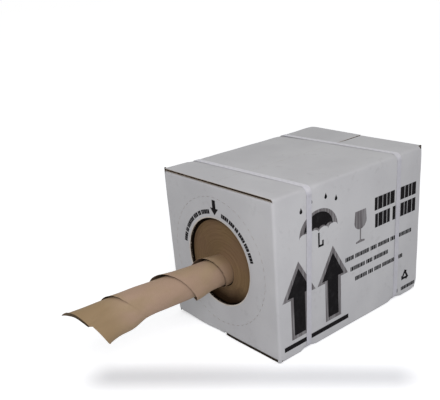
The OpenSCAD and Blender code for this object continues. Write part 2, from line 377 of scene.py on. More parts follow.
def drawn_liner(s_values, v_values, shapes):
    """Triangles over a flat rectangle, cut along each shape's outline.

    shapes holds pairs of an outline and a material slot, where None is a hole. Where shapes overlap,
    the last one counts.
    """
    s, v = net(s_values, v_values)
    edge = (s == s_values[0]) | (s == s_values[-1]) | (v == v_values[0]) | (v == v_values[-1])
    clear = np.full(len(s), 1.0)
    for outline, _ in shapes:
        ends = np.roll(outline, -1, axis=0)
        way = ends - outline
        length = np.maximum((way ** 2).sum(-1), 1e-18)
        for a, w, l in zip(outline, way, length):
            u = np.clip(((s - a[0]) * w[0] + (v - a[1]) * w[1]) / l, 0, 1)
            clear = np.minimum(clear, np.hypot(s - a[0] - u * w[0], v - a[1] - u * w[1]))
    kept = edge | (clear > 1.5 * MM)
    points = [Vector((a / MM, b / MM)) for a, b in zip(s[kept], v[kept])]
    loops = []
    for outline, _ in shapes:
        loops.append(list(range(len(points), len(points) + len(outline))))
        points += [Vector((a / MM, b / MM)) for a, b in outline]
    found = delaunay_2d_cdt(points, [], loops, 0, 1e-5, True)
    places = np.array([tuple(p) for p in found[0]]) * MM
    faces, slots = [], []
    for face, inside in zip(found[2], found[5]):
        slot = shapes[max(inside)][1] if inside else WHITE
        if slot is not None:
            faces.append(tuple(face))
            slots.append(slot)
    return places[:, 0], places[:, 1], faces, slots


def circle(cx, cy, radius, count, start=0.0, turn=2 * np.pi):
    """Points along an arc, without the end of a full turn."""
    angles = start + turn * np.arange(count) / (count if abs(turn) >= 2 * np.pi else count - 1)
    return np.stack([cx + radius * np.cos(angles), cy + radius * np.sin(angles)], -1)


def ring_bar(cx, cy, inner, outer, start, end, count):
    """A bar bent along a ring. Its angles are clockwise from the top."""
    a, b = (math.pi / 2 - math.radians(angle) for angle in (start, end))
    return np.concatenate([
        circle(cx, cy, outer, count, a, b - a)[::-1],
        circle(cx, cy, inner, count, a, b - a),
    ])


def bar(s0, v0, s1, v1):
    """An upright rectangle, from its lower left to its upper right corner."""
    return np.array([(s0, v0), (s1, v0), (s1, v1), (s0, v1)])


def up_arrow(cx, low, shaft_w, head_w, head_h, height):
    """An upright arrow, anticlockwise from its lower left corner."""
    neck = low + height - head_h
    return np.array([
        (cx - shaft_w / 2, low), (cx + shaft_w / 2, low), (cx + shaft_w / 2, neck), (cx + head_w / 2, neck),
        (cx, low + height), (cx - head_w / 2, neck), (cx - shaft_w / 2, neck),
    ])


def goblet(cx, low, width, height):
    """A stemmed glass, from a few proportions of its width and height."""
    stem = 0.05 * width
    bowl_low = low + 0.42 * height
    foot = 0.36 * width
    right = [(foot, low), (foot, low + 0.05 * height), (stem, low + 0.09 * height), (stem, bowl_low)]
    bowl = circle(0, 0, 1, 9, -math.pi / 2, math.pi / 2)
    right += [(max(stem, 0.5 * width * x), bowl_low + 0.24 * height * (1 + y)) for x, y in bowl[1:]]
    right.append((0.44 * width, low + height))
    return np.array([(cx + x, y) for x, y in right] + [(cx - x, y) for x, y in reversed(right)])


def umbrella(cx, base, radius, scallops=4):
    """An open umbrella's canopy: a flattened dome over a scalloped edge."""
    dome = circle(0, 0, radius, 25, 0, math.pi)
    points = [(x, 0.86 * y) for x, y in dome]
    width = 2 * radius / scallops
    for k in range(scallops):
        middle = -radius + (k + 0.5) * width
        points += [(middle - 0.5 * width * math.cos(math.pi * j / 6), 0.3 * width * math.sin(math.pi * j / 6))
                   for j in range(1, 6)]
        if k < scallops - 1:
            points.append((-radius + (k + 1) * width, 0))
    return np.array([(cx + x, base + y) for x, y in points])


def drop(cx, cy, radius):
    """A falling drop: a round with a drawn-out top."""
    round_part = circle(0, 0, radius, 13, math.pi * 0.85, math.pi * 1.3)
    return np.array([(cx + x, cy + y) for x, y in round_part] + [(cx, cy + 2.2 * radius)])


def perforations(v_hole):
    """Outlines of the short cuts in the ring round the hole."""
    half = 180 * PERF_SHARE / PERF_COUNT
    middles = [k * 360 / PERF_COUNT for k in range(PERF_COUNT)]
    inner = PERF_R - PERF_W / 2
    outer = PERF_R + PERF_W / 2
    return [ring_bar(HOLE_X, v_hole, inner, outer, middle - half, middle + half, 4) for middle in middles]


def front_print(v_hole):
    """The front's hole and ring of cuts, with plain marks round them. Places are from the hole's centre."""
    # The ring round the hole is pressed liner, lighter than the board: partly its own colour and partly a
    # painted highlight where the pressed edge catches light
    shapes = [(circle(HOLE_X, v_hole, HOLE_R + RIM_W, 180), LIP_HIGHLIGHT), (circle(HOLE_X, v_hole, HOLE_R, 180), None)]
    words_in = 90 * MM
    words_out = 98 * MM
    # Two bent rows of blocks, by degrees clockwise from the top: where each starts, and its words' lengths
    for at, words in ((-79, (4, 2, 6, 3, 2, 5)), (11, (4, 3, 2, 4, 3, 4))):
        for count in words:
            for k in range(count):
                wide = 2.3 + 0.5 * (k % 3)
                block = ring_bar(HOLE_X, v_hole, words_in, words_out, at, at + wide, 3)
                shapes.append((block, BLACK))
                at += wide + 0.25
            at += 1.1
    arrow_h = 28 * MM
    arrow = up_arrow(HOLE_X, 0, 9 * MM, 22 * MM, 13 * MM, arrow_h)
    arrow[:, 1] = v_hole + words_in - 1 * MM + arrow_h - arrow[:, 1]
    shapes.append((arrow[::-1], BLACK))
    return shapes + [(cut, None) for cut in perforations(v_hole)]


def side_print(base):
    """The right wall's print: plain handling marks, and bars where a label's lines would be.

    Its places are millimetres from the wall's lower front corner.
    """
    corner = np.array([-BOX_L / 2, -base])
    shapes = []

    def add(outline, slot):
        shapes.append((outline * MM + corner, slot))

    def blocks(low, high, ends, size, gap):
        """Words as rows of plain upright blocks of uneven widths."""
        for start, end in zip(ends[::2], ends[1::2]):
            count = max(1, round((end - start) / size))
            cuts = np.cumsum([0] + [1 + 0.18 * ((2 * k) % 3 - 1) for k in range(count)])
            cuts = start + (end + gap - start) * cuts / cuts[-1]
            for left, right in zip(cuts, cuts[1:]):
                add(bar(left, low, right - gap, high), BLACK)

    for middle in (52, 139):
        add(up_arrow(middle, 34, 42, 82, 66, 144), GREY)
        add(up_arrow(middle, 41, 28, 58, 49, 124), BLACK)
    add(bar(12, 18, 180, 27), BLACK)
    add(umbrella(104, 214, 48), GREY)
    add(umbrella(104, 219, 36), BLACK)
    add(bar(102, 186, 106, 213), BLACK)
    add(bar(106, 186, 116, 190), BLACK)
    add(bar(112, 190, 116, 197), BLACK)
    for middle, height in ((62, 262), (86, 272), (122, 272), (148, 262)):
        add(drop(middle, height, 3.4), BLACK)
    add(goblet(214, 160, 34, 62), GREY)
    blocks(209, 234, (254, 313, 321, 379), 12.5, 1.3)
    blocks(175, 202, (256, 300, 308, 379), 12.5, 1.3)
    for low, ends in (
        (133, (173, 196, 200, 240, 244, 262, 266, 300, 304, 318, 322, 369)),
        (110, (187, 228, 232, 250, 254, 297)),
        (87, (200, 234, 238, 252, 256, 276, 280, 343)),
    ):
        blocks(low, low + 8.5, ends, 4.2, 0.8)
    blocks(12.5, 20.5, (319, 331, 342, 387), 5, 0.8)
    for turn in range(3):
        angle = math.radians(120 * turn)
        c, s = math.cos(angle), math.sin(angle)
        blade = np.array([(-9, -7.5), (4, -7.5), (4, -11), (12.5, -5), (4, 1), (4, -2.5), (-6, -2.5)])
        turned = np.stack([blade[:, 0] * c - blade[:, 1] * s, blade[:, 0] * s + blade[:, 1] * c], -1)
        add(turned + np.array([353.5, 43]), BLACK)
    return shapes


def strap_line(strap, x, z):
    """Where a strap's middle lies along the carton, at a place of its loop."""
    middle, skew, lean = STRAPS[strap]
    return middle + skew * x / BOX_W + lean * (z - BOX_H / 2) / BOX_H


def dish(a, half):
    """1 in the middle of a panel and 0 at its ends, half away."""
    return np.clip(1 - (a / half) ** 2, 0, 1)


def hold_down(x, y, z, depth):
    """The straps hold the board down inside their loops."""
    for strap in STRAPS:
        past = np.abs(y - strap_line(strap, x, z))
        weight = 1 - smooth(past, 6.5 * MM, 20 * MM)
        over_x = np.abs(x) - STRAP_RUN_X
        over_z = np.abs(z - STRAP_MID_Z) - STRAP_RUN_Z
        corner_x = np.maximum(over_x, 0)
        corner_z = np.maximum(over_z, 0)
        away = np.hypot(corner_x, corner_z)
        deep = away + np.minimum(np.maximum(over_x, over_z), 0) - STRAP_FOLD_R
        excess = np.maximum(deep + depth + 0.1 * MM, 0) * weight
        safe = np.maximum(away, 1e-9)
        x = x - excess * np.sign(x) * corner_x / safe
        z = z - excess * np.sign(z - STRAP_MID_Z) * corner_z / safe
    return x, y, z


def settle_board(points, depth):
    """Board after packing and handling: every move is inward, so the carton keeps its outer size."""
    x, y, z = points.T.copy()
    half_w = BOX_W / 2
    half_l = BOX_L / 2

    # The die has pressed the liner in round the hole
    ring = np.hypot(x - HOLE_X, z - HOLE_Z)
    on_front = y < -half_l + BOARD + 0.1 * MM
    lip = 0.7 * MM * (1 - smooth(ring, HOLE_R - 0.5 * MM, HOLE_R + 2.5 * MM)) * (1 - depth / BOARD)
    y = y + np.where(on_front & (ring < HOLE_R + 4 * MM), lip, 0)

    # Panels dish in between their folds
    near_x = smooth(np.abs(x), half_w - 12 * MM, half_w - 6 * MM)
    near_y = smooth(np.abs(y), half_l - 12 * MM, half_l - 6 * MM)
    near_top = smooth(z, BOX_H - 16 * MM, BOX_H - 10 * MM)
    rise = z - BOX_H / 2
    uneven = 0.5 + 0.5 * ripple(y, z, 0.16, 0.4)
    x = x - np.sign(x) * near_x * MM * dish(y, half_l) * dish(rise, BOX_H / 2) * (0.9 + 0.7 * uneven)
    uneven = 0.5 + 0.5 * ripple(x, z, 0.13, 1.3)
    y = y - np.sign(y) * near_y * MM * dish(x, half_w) * dish(rise, BOX_H / 2) * (0.5 + 0.6 * uneven)
    uneven = 0.5 + 0.5 * ripple(x, y, 0.15, 2.2)
    z = z - near_top * MM * dish(x, half_w) * dish(y, half_l * 1.1) * (0.5 + 0.9 * uneven)

    # The left-hand top flap droops towards its fold
    droop = smooth(-x, 50 * MM, half_w) * smooth(y, -half_l + 20 * MM, -half_l + 110 * MM)
    z = z - near_top * 1.5 * MM * droop * (1 - smooth(y, half_l - 60 * MM, half_l))

    # The top flaps part behind the rear strap, where the right-hand one also lies lower
    right_flap = smooth(x, SEAM_X - 0.05 * MM, SEAM_X + 0.05 * MM) * (1 - smooth(x, 0, half_w))
    behind = smooth(y, half_l - 90 * MM, half_l - 40 * MM)
    z = z - near_top * right_flap * MM * behind
    seam_side = np.sign(x - SEAM_X) * np.exp(-np.abs(x - SEAM_X) / (25 * MM))
    x = x + near_top * behind * seam_side * 0.5 * MM

    # The front wall's lower fold sags over the left-hand bottom flap, up to the seam
    sagged = smooth(x, -half_w + 8 * MM, -half_w + 100 * MM)
    sagged = sagged * (1 - smooth(x, SEAM_X - 4 * MM, SEAM_X - 1 * MM))
    sagged = sagged * (1 - smooth(y, -half_l + 4.5 * MM, -half_l + 8 * MM))
    z = z - 4.1 * MM * sagged * (1 - smooth(z, 9 * MM, 45 * MM))
    press = np.exp(-((x + 22 * MM) / (26 * MM)) ** 2 - ((z - 2 * MM) / (20 * MM)) ** 2)
    y = y + 2.2 * MM * press * (1 - smooth(y, -half_l + 6 * MM, -half_l + 30 * MM))

    # Folds are never quite straight
    edge_x = smooth(np.abs(x), half_w - 14 * MM, half_w) * (near_top + smooth(-z, -14 * MM, -4 * MM))
    x = x - np.sign(x) * edge_x * 0.35 * MM * (1 + ripple(y, z, 0.07, 0.9))
    edge_z = near_top * smooth(np.abs(x), half_w - 14 * MM, half_w) * (1 - near_y)
    z = z - edge_z * 0.4 * MM * (1 + ripple(y, x, 0.09, 1.7))
    upright = smooth(np.abs(x), half_w - 12 * MM, half_w) * near_y
    x = x - np.sign(x) * upright * 0.3 * MM * (1 + ripple(z, y, 0.08, 2.9))

    for (side, end, top), push, width in KNOCKS:
        away = np.sqrt((x - side * half_w) ** 2 + (y - end * half_l) ** 2 + (z - top * BOX_H) ** 2)
        weight = np.exp(-(away / (width * MM)) ** 2) * MM
        x, y, z = (c + weight * p for c, p in zip((x, y, z), push))

    x, y, z = hold_down(x, y, z, depth)
    return np.stack([x, y, np.maximum(z, 0)], -1)


def carton_patch(shell, panel, s_values, v_values, column=False, shapes=None, inner_shapes=None):
    """A rectangle of board: its outer liner, with any print, and its inner liner."""
    s, v = net(s_values, v_values)
    plain = grid_faces(len(s_values), len(v_values))
    for drawn, slot, depth in ((shapes, WHITE, 0.0), (inner_shapes, INNER, BOARD)):
        if drawn:
            drawn_s, drawn_v, faces, slots = drawn_liner(s_values, v_values, drawn)
            skin(shell, panel, drawn_s, drawn_v, faces, slots if depth == 0 else slot, depth, column)
        else:
            skin(shell, panel, s, v, plain, slot, depth, column)


def run_between(a, b, size=MM):
    """Points along the straight run from a to b."""
    count = max(2, int(np.hypot(b[0] - a[0], b[1] - a[1]) / size) + 1)
    return np.linspace(a[0], b[0], count), np.linspace(a[1], b[1], count)


def cut_edges(shell, panel, corners, column=False, fluted=True):
    """Cut edges from corner to corner, clockwise round the board as seen from outside."""
    for a, b in zip(corners, corners[1:]):
        way = np.subtract(b, a)
        length = np.hypot(*way)
        if length > 0.01 * MM:
            inward = (way[1] / length, -way[0] / length)
            rim(shell, panel, *run_between(a, b), inward, column, fluted)


def between(values, low, high):
    """The values that lie between low and high, with both of these as ends."""
    kept = values[(values > low + 0.01 * MM) & (values < high - 0.01 * MM)]
    return np.concatenate([[low], kept, [high]])


def flap(shell, panel, base, fold, free, length, up):
    """One flap, and the wall's bare ends beside its fold.

    fold and free are the ends along the wall of its fold and of its flat part.
    """
    sign = 1 if up else -1
    at_fold = panel.height if up else 0
    bent = at_fold + sign * FOLD_ARC
    end = bent + sign * length
    for span, v_values in ((fold, np.linspace(at_fold, bent, 7)), (free, steps(bent, end, GRID))):
        carton_patch(shell, panel, between(base, *span), np.sort(v_values))
    corners = [
        (max(fold[0], -panel.flat), at_fold), (fold[0], at_fold), (fold[0], bent),
        (free[0], bent), (free[0], end), (free[1], end), (free[1], bent),
        (fold[1], bent), (fold[1], at_fold), (min(fold[1], panel.flat), at_fold),
    ]
    cut_edges(shell, panel, corners if up else corners[::-1])
    for start, stop in ((-panel.flat, fold[0]), (fold[1], panel.flat)):
        if stop > start:
            bare = [(start, at_fold), (stop, at_fold)]
            cut_edges(shell, panel, bare if up else bare[::-1], fluted=False)


def upright_corners(shell, panel, levels):
    """The panel's half of each upright corner, with its ears above and below the folds."""
    arc = np.linspace(0, CORNER_ARC, 5)
    for sign in (-1, 1):
        corner = tuple(np.sign(panel.normal + sign * panel.along)[:2].astype(int))
        foot = CORNER_FEET[corner]
        top = max(CORNER_TOPS[corner], levels[-1] + 0.05 * MM)
        v_values = np.concatenate([[foot], levels, [top]]) - panel.low - FOLD_R
        s_values = np.sort(sign * (panel.flat + arc))
        carton_patch(shell, panel, s_values, v_values, True)
        low, high = s_values[0], s_values[-1]
        v_low, v_high = v_values[0], v_values[-1]
        cut_edges(shell, panel, [(low, v_high), (high, v_high)], True)
        cut_edges(shell, panel, [(high, v_low), (low, v_low)], True)
        upper = [(sign * panel.flat, panel.height), (sign * panel.flat, v_high)]
        lower = [(sign * panel.flat, v_low), (sign * panel.flat, 0)]
        for side in (upper, lower):
            cut_edges(shell, panel, side if sign > 0 else side[::-1], True, fluted=False)


def build_carton():
    """The whole blank: four walls, four outer and four inner flaps, and the glue tab."""
    shell = Shell()
    inset = BOARD + FLAP_GAP
    right = Panel((1, 0, 0), (0, 1, 0), BOX_W / 2, BOX_L / 2, 0)
    left = Panel((-1, 0, 0), (0, -1, 0), BOX_W / 2, BOX_L / 2, 0)
    front = Panel((0, -1, 0), (1, 0, 0), BOX_L / 2, BOX_W / 2, inset)
    back = Panel((0, 1, 0), (-1, 0, 0), BOX_L / 2, BOX_W / 2, inset)
    shared = steps(FOLD_R + inset, BOX_H - FOLD_R - inset, GRID)
    levels = np.concatenate([[FOLD_R], shared, [BOX_H - FOLD_R]])

    slotted = right.flat - CORNER_SLOT
    whole = BOX_L / 2 - FLAP_GAP
    # Ends of the fold and of the flat part, along the wall: of the top flap and of the bottom flap
    spans = {
        right: (((-whole, slotted), (-whole, whole)), ((-slotted, slotted), (1.5 * MM - whole, whole))),
        left: (((-slotted, slotted), (-whole, whole)), ((-slotted, slotted), (-whole, whole - 8 * MM))),
    }
    for panel, (top, bottom) in spans.items():
        marks = [-slotted, slotted, bottom[1][0], bottom[1][1]]
        base = np.array(sorted({round(a, 7) for a in steps(-panel.flat, panel.flat, GRID)}
                               | {round(a, 7) for a in marks if abs(a) < panel.flat}))
        shapes = side_print(FOLD_R) if panel is right else None
        carton_patch(shell, panel, base, levels - FOLD_R, shapes=shapes)
        seam = SEAM_X if panel is right else -SEAM_X
        for (fold, free), up, gap in ((top, True, TOP_SEAM_GAP), (bottom, False, BOTTOM_SEAM_GAP)):
            flap(shell, panel, base, fold, free, BOX_W / 2 - FOLD_R - seam - gap / 2, up)
        upright_corners(shell, panel, levels)

    flap_half = BOX_W / 2 - BOARD - SLOT_W
    for panel in (front, back):
        base = np.concatenate([[-panel.flat], steps(-flap_half, flap_half, GRID), [panel.flat]])
        shapes = None
        inner_shapes = None
        if panel is front:
            v_hole = HOLE_Z - panel.low - FOLD_R
            shapes = front_print(v_hole)
            inner_shapes = [(circle(HOLE_X, v_hole, HOLE_R, 180), None)]
            angles = np.linspace(0, 2 * np.pi, 541)
            way = np.stack([np.cos(angles), np.sin(angles)], -1)
            rim(shell, panel, HOLE_X + HOLE_R * way[:, 0], v_hole + HOLE_R * way[:, 1], way, torn=True)
            perforation_cuts(shell, panel, v_hole)
        carton_patch(shell, panel, base, shared - panel.low - FOLD_R, False, shapes, inner_shapes)
        for up in (True, False):
            flap(shell, panel, base, (-flap_half, flap_half), (-flap_half, flap_half), FLAP_L, up)
        upright_corners(shell, panel, levels)
    glue_tab(shell, inset)
    return shell


def perforation_cuts(shell, panel, v_hole):
    """Walls and floor of each short cut round the hole."""
    for loop in perforations(v_hole):
        count = len(loop)
        s = np.concatenate([loop[:, 0], loop[:, 0]])
        v = np.concatenate([loop[:, 1], loop[:, 1]])
        depth = np.repeat([0, PERF_DEPTH], count)
        walls = [(i, (i + 1) % count, count + (i + 1) % count, count + i) for i in range(count)]
        last = 2 * count - 1
        floor = [(count + i, count + i + 1, last - 1 - i, last - i) for i in range(count // 2 - 1)]
        points = panel.place(s, v, depth)
        shell.add(points, walls + floor, CUT, np.stack([s, v], -1), depth)


def glue_tab(shell, inset):
    """The rear wall's tab, glued inside the left wall."""
    low = inset + BOARD + SLOT_W
    rear = BOX_L / 2 - BOARD
    x0 = -BOX_W / 2 + BOARD + 0.02 * MM
    y_values = steps(rear - TAB_W, rear - 0.3 * MM, GRID)
    z_values = steps(low, BOX_H - low, GRID)
    y, z = net(y_values, z_values)
    faces = grid_faces(len(y_values), len(z_values))
    for x, way in ((x0, -1), (x0 + BOARD, 1)):
        chosen = faces if way > 0 else flipped(faces)
        shell.add(np.stack([np.full(len(y), x), y, z], -1), chosen, INNER, np.stack([y, z], -1), BOARD)
    corners = [(y_values[0], low), (y_values[-1], low)]
    corners += [(y, BOX_H - z) for y, z in reversed(corners)]
    for (ya, za), (yb, zb) in zip(corners, corners[1:] + corners[:1]):
        run_y, run_z = run_between((ya, za), (yb, zb), GRID)
        sides = [np.stack([np.full(len(run_y), x), run_y, run_z], -1) for x in (x0, x0 + BOARD)]
        grid = np.stack(sides, 1)
        coords = np.stack([run_y + run_z, run_y], -1)
        shell.add(grid, grid_faces(len(run_y), 2), CUT, np.repeat(coords, 2, axis=0), BOARD)


def wrap_surface(n, front, room):
    """Places along the sheet at n wraps from the tip: in front of the roll, and how far off the tube."""
    shares = np.concatenate([np.linspace(0, 0.2, 6) ** 1.2, np.linspace(0.25, 1, 10)])
    shares[0] = 0
    t = front[:, None] - shares * room[:, None]
    lift = stand_off(n)[:, None] * (1 - shares) ** 1.3
    flat = t[:, -1]
    rear = front - PAPER_W + 2 * MM
    bent = np.minimum(flat, BEND_START)
    for j in range(1, 7):
        t = np.concatenate([t, (flat + (bent - flat) * j / 6 - j * MM)[:, None]], 1)
    for j in range(1, 4):
        t = np.concatenate([t, (t[:, -1] + (rear - t[:, -1]) * j / 3)[:, None]], 1)
    lift = np.concatenate([lift, np.zeros((len(n), t.shape[1] - lift.shape[1]))], 1)
    return t, lift


def reach(n):
    """How far the paper's edge stands in front of the roll, n wraps from the tip."""
    i = np.minimum(np.floor(2 * n).astype(int), len(KNOTS) - 2)
    u = 2 * n - i
    a, b, c, d = (KNOTS[np.clip(i + k, 0, len(KNOTS) - 1)] for k in (-1, 0, 1, 2))
    square = a - 2.5 * b + 2 * c - d / 2
    cube = 1.5 * (b - c) + (d - a) / 2
    return b + u * (c - a) / 2 + u * u * square + u ** 3 * cube


def hump(a, mid, half):
    """A soft hump: 1 at mid, and 0 from half away."""
    return np.where(np.abs(a - mid) >= half, 0, np.cos(np.clip((a - mid) / half, -1, 1) * np.pi / 2) ** 2)


def stand_off(n):
    """How far the paper's edge stands off the tube: its free corner, and the later wraps' upper edges."""
    a = TIP_TURN + 360 * n
    later = (n >= 0.7) & (n <= FREE_WRAPS - 0.4)
    around = a - 360 * np.round(n)
    flare = EDGE_FLARE * np.where(n < 1.5, 0.5 * hump(around, 2, 55), hump(around, -35, 75))
    return CORNER_FLARE * hump(a, 152, 62) + np.where(later, flare, 0)


def tube_point(n, t, off):
    """Points of the tube: n wraps from the tip, t in front of the roll, off from its mid sheet."""
    a = np.radians(TIP_TURN + 360 * n)
    bend = np.where(t < BEND_START, 0, ((t - BEND_START) / (TIP_REACH - BEND_START)) ** 2)
    radius = TUBE_R + WRAP_PITCH * n + MERGE_GROWTH * np.maximum(0, n - FREE_WRAPS) ** 2 + off
    return np.stack([
        ROLL_X + TUBE_X - TIP_LEAN * bend + radius * np.sin(a),
        ROLL_FACE - t,
        ROLL_Z + TUBE_Z - TIP_SAG * bend + radius * np.cos(a),
    ], -1)


def paper_waves(n, t):
    """Cockle of the drawn-out paper, the same in every wrap so that none cuts another."""
    turn = np.radians(TIP_TURN + 360 * n)
    free = smooth(t, 0, 0.05)
    spread = np.where(t > BULGE_T, 22 * MM, 30 * MM)
    bulge = hump((TIP_TURN + 360 * n) % 360, 150, 75) * np.exp(-((t - BULGE_T) / spread) ** 2)
    slow = 0.7 * np.sin(2 * turn + 14 * t) + 0.5 * np.sin(3 * turn - 21 * t + 1)
    quick = 0.22 * np.sin(5 * turn + 60 * t) + 0.16 * np.sin(7 * turn - 95 * t + 2)
    quick = quick + 0.12 * np.sin(120 * t + 3 * turn)
    return free * MM * (slow + quick + 6 * bulge)


def tip_crease(n, t):
    """The crease that runs back from the small tear in the front edge."""
    a = TIP_TURN + 360 * n
    run = np.radians(a - 65) * TUBE_R
    back = CREASE_T - t
    along = 0.97 * back - 0.244 * run
    across = 0.97 * run + 0.244 * back
    ridge = np.exp(-np.abs(across) / (2.4 * MM)) - 0.5 * np.exp(-((across + 6 * MM) / (4 * MM)) ** 2)
    held = smooth(along, -10 * MM, 0.0) * (1 - smooth(along, 28 * MM, 60 * MM))
    return CREASE_DEPTH * ridge * held * (n < 0.7)


def mouth_reach(turn):
    """Reach of the front edge round the mouth: the far lip, the tip, the near edge and the free corner.

    Each is a slope or a curve in millimetres, by degrees round the tube.
    """
    far = 297.5 - 46 * (1 - np.exp(-np.maximum(-48 - turn, 0) / 55))
    tip = 297.5 - 0.29 * (turn + 48)
    near = 292 - 0.091 * (turn + 29) - 0.0006 * (turn + 29) ** 2
    corner = 271 - 0.20 * (turn - 82) - 0.00235 * (turn - 82) ** 2
    return MM * np.where(turn < -48, far, np.where(turn < -29, tip, np.where(turn < 81, near, corner)))


def hugging(n):
    """1 where the wrap's edge lies close on the wrap under it."""
    return smooth(n, 1.15, 1.30) * (1 - smooth(n, 1.55, 1.7))


def edge_lift(n):
    """How far each wrap's edge stands off the wrap under it, over and above the tube's own flare."""
    a = TIP_TURN + 360 * n
    outer = smooth(n, 1.6, 1.75) * (1 - smooth(n, 3.5, 3.7))
    inner = smooth(n, 0.62, 0.75) * (1 - smooth(n, 1.15, 1.30))
    lower = 4.5 * MM * hump(a, 868, 60)
    near_box = 1.8 * MM * hump(a, 1140, 110)
    return MM * (1.3 * outer + 0.6 * inner - 0.9 * hugging(n)) + lower + near_box


def build_drawn_paper():
    """The drawn-out sheet, wound outward from its tip, with an upper and an under side."""
    per_wrap = 120
    # The far lip comes before the tip
    before_tip = 33
    generators = int(LAST_WRAP * per_wrap) + 1 + before_tip
    n = (np.arange(generators) - before_tip) / per_wrap
    turn = TIP_TURN + 360 * n
    paper_edge = reach(np.maximum(n, 0))
    frayed = MM * (0.3 * np.sin(turn * 0.31) + 0.15 * np.sin(turn * 0.83 + 1))
    paper_edge = paper_edge + np.where((n > 0.7) & (n < FREE_WRAPS), frayed, 0)
    blend = smooth(turn, 146, 166)
    front = mouth_reach(turn) * (1 - blend) + paper_edge * blend
    over = np.where(n + 1 > LAST_WRAP, 0, front - reach(np.clip(n + 1, 0, LAST_WRAP)))
    room = np.maximum(over, 1.6 * MM)
    t, lift = wrap_surface(n, front, room)
    grid_n = np.broadcast_to(n[:, None], t.shape)
    from_edge = front[:, None] - t
    roomy = smooth(room, 4 * MM, 14 * MM)[:, None]
    raised = edge_lift(n)[:, None] * (1 - smooth(from_edge, 0, 40 * MM)) * roomy
    rolled = MM * (0.5 * (1 - hugging(n)) + 1.3 * hump(turn, -38, 45))
    curl = rolled[:, None] * roomy * np.clip(1 - from_edge / (5 * MM), 0, 1) ** 2
    lift = lift + curl + raised + paper_waves(grid_n, t) + tip_crease(grid_n, t)
    run = np.cumsum(np.r_[0, (TUBE_R + WRAP_PITCH * n[1:]) * 2 * np.pi / per_wrap])
    coords = np.stack([np.broadcast_to(run[:, None], t.shape), t], -1)
    rows, columns = t.shape
    half = rows * columns
    top = tube_point(grid_n, t, lift + PAPER_T / 2).reshape(-1, 3)
    under = tube_point(grid_n, t, lift - PAPER_T / 2).reshape(-1, 3)
    outer = flipped(grid_faces(rows, columns))
    faces = outer + [tuple(half + i for i in face) for face in flipped(outer)]
    # The under side takes the darker kraft, painted shade
    slots = [0] * len(outer) + [1] * len(outer)
    border = [i * columns for i in range(rows)]
    border += [(rows - 1) * columns + j for j in range(1, columns)]
    border += [i * columns + columns - 1 for i in range(rows - 2, -1, -1)]
    border += [j for j in range(columns - 2, 0, -1)]
    faces += [(a, half + a, half + b, b) for a, b in zip(border, border[1:] + border[:1])]
    slots += [0] * len(border)
    shell = Shell()
    shell.add(np.concatenate([top, under]), faces, slots, np.concatenate([coords.reshape(-1, 2)] * 2))
    return shell


def turn_level(radius, seed):
    """How far the turns at a radius stand back from the roll's end, from 0 to 1."""
    i = radius / MM
    level = 0.5
    for height, wave, shift in ((0.22, 0.9, 1), (0.16, 2.3, 2), (0.12, 5.1, 1)):
        level = level + height * np.sin(i * wave + shift * seed)
    return np.clip(level + 0.18 * np.sin(i * 13.7 + seed) * np.sin(i * 3.1), 0, 1)


def build_wound_body():
    """The wound turns: both ends show them as fine uneven ridges, and the innermost are drawn forward."""
    sides = 192
    radii = steps(COLLAR_R, ROLL_R - 0.2 * MM, 0.7 * MM)
    past_bore = radii - BORE_R
    drawn = 3.2 * MM * np.exp(-(np.maximum(past_bore, 0) / (8 * MM)) ** 1.3) + 0.8 * np.maximum(-past_bore, 0)
    front = ROLL_FACE + 0.1 * MM + 0.9 * MM * turn_level(radii, 1.0) - drawn
    coarse = radii[radii >= BORE_R][::2]
    rear = ROLL_REAR - 0.1 * MM - 0.9 * MM * turn_level(coarse, 4.0)
    profile = list(zip(radii, front))
    profile.append((ROLL_R, ROLL_FACE + PUSHED_BACK + 1.5 * MM))
    profile += [(ROLL_R, y) for y in steps(ROLL_FACE, ROLL_REAR, 50 * MM)[1:-1]]
    profile.append((ROLL_R, ROLL_REAR - 1.5 * MM))
    rear_start = len(profile)
    profile += list(zip(coarse[::-1], rear[::-1]))
    profile += [(BORE_R, y) for y in steps(ROLL_FACE, ROLL_REAR, 60 * MM)[-2:0:-1]]
    count = len(profile)
    profile = np.array(profile)
    angles = 2 * np.pi * np.arange(sides) / sides
    radius = profile[None, :, 0] * np.ones((sides, 1))
    y = profile[None, :, 1] * np.ones((sides, 1))
    on_front = y < ROLL_FACE + 1.4 * MM
    waves = 0.25 * MM * np.sin(2 * angles[:, None] + radius * 40) * smooth(radius, BORE_R + 0.01, ROLL_R)
    y = y + np.where(on_front, np.abs(waves), 0)
    x = ROLL_X + radius * np.sin(angles)[:, None]
    z = ROLL_Z + radius * np.cos(angles)[:, None]
    from_window = np.hypot(x - PUSHED_X, z - PUSHED_Z)
    y = y + np.where(on_front, PUSHED_BACK * smooth(from_window, PUSHED_R, PUSHED_R + 3 * MM), 0)
    points = np.stack([x, y, z], -1)
    coords = np.stack([radius * angles[:, None], radius + 0 * y], -1)
    shows_turns = [
        j < len(radii) - 1 or rear_start <= j < rear_start + len(coarse) - 1 for j in range(count)
    ]
    slots = [int(shown) for shown in shows_turns] * sides
    faces = []
    for i in range(sides):
        for j in range(count):
            k = (i + 1) % sides
            m = (j + 1) % count
            faces.append((i * count + j, i * count + m, k * count + m, k * count + j))
    shell = Shell()
    shell.add(points, faces, slots, coords)
    return shell


def strap_section():
    """Points round a strap's section, as share of its width and of its thickness."""
    across = np.array([-1, -0.97, -0.9, -0.6, -0.2, 0.2, 0.6, 0.9, 0.97, 1])
    top = 1 - 0.35 * np.abs(across) ** 14
    under = 0.18 * np.abs(across) ** 14
    return np.concatenate([across, across[::-1]]) / 2, np.concatenate([top, under[::-1]])


